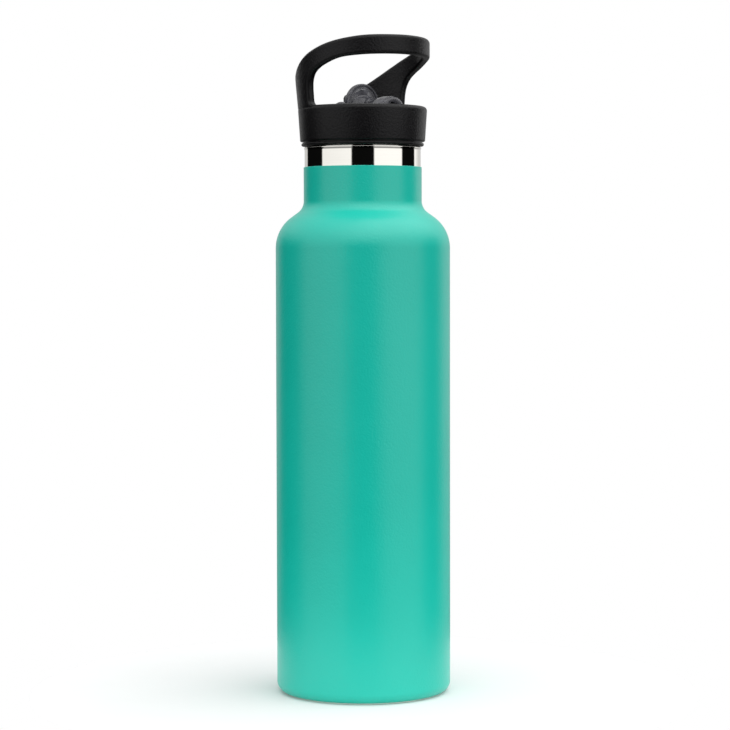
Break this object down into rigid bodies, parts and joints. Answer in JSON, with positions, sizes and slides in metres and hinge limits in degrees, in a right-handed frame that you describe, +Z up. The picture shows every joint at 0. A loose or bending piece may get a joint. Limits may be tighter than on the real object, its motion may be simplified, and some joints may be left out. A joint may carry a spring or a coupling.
{
  "type": "insulated water bottle",
  "caption": "Slim double-walled steel bottle with a powder-coated body, screw lid with a raised loop handle, and a flip-up drinking spout over a straw.",
  "frame": {"origin": "centre of the base, on the floor", "axes": "+Z up the bottle's axis, +X towards the back of the lid where the handle's two legs meet, -X towards the drinker; with the spout closed it points to +X, and its hinge lies along Y"},
  "size_m": [0.073, 0.073, 0.2735],
  "materials": {
    "powder_coat": "satin powder coat with a fine orange-peel texture",
    "steel": "polished stainless steel",
    "black_plastic": "matte, finely textured moulding",
    "smoky_plastic": "smoky translucent moulding",
    "silicone": "soft translucent silicone",
    "clear_straw": "clear tube",
    "foam": "closed-cell foam",
    "copper": "bright foil",
    "sealing_glass": "fused bead",
    "getter_metal": "pressed powder"
  },
  "bodies": {
    "bottle": {"outer_shell": "steel", "powder_coat": "powder_coat", "base_cup": "steel", "base_disc": "steel", "vacuum_plug": "sealing_glass", "getter": "getter_metal", "getter_clip": "steel", "inner_flask": "steel", "flask_floor": "steel", "copper_foil": "copper"},
    "gasket": {"lip_gasket": "silicone"},
    "lid": {"lid_shell": "black_plastic", "lid_liner": "black_plastic", "lid_foam": "foam", "spout_deck": "black_plastic", "hinge_pins": "steel", "hub_seal": "silicone", "straw_socket": "silicone", "straw": "clear_straw", "vent_valve": "silicone"},
    "spout": {"spout": "smoky_plastic"}
  },
  "joints": [
    {"name": "lid_lift", "type": "slide", "parent": "bottle", "child": "gasket", "axis": [0, 0, 1], "range_m": [0, 0.008]},
    {"name": "lid_turn", "type": "hinge", "parent": "gasket", "child": "lid", "pos_m": [0, 0, 0.2345], "axis": [0, 0, 1], "range_deg": [0, 720]},
    {"name": "spout_flip", "type": "hinge", "parent": "lid", "child": "spout", "pos_m": [-0.0055, 0, 0.241], "axis": [0, -1, 0], "range_deg": [0, 90]}
  ],
  "couplings": [
    {"joint": "lid_lift", "follows": "lid_turn", "m_per_rad": 0.00063662}
  ]
}
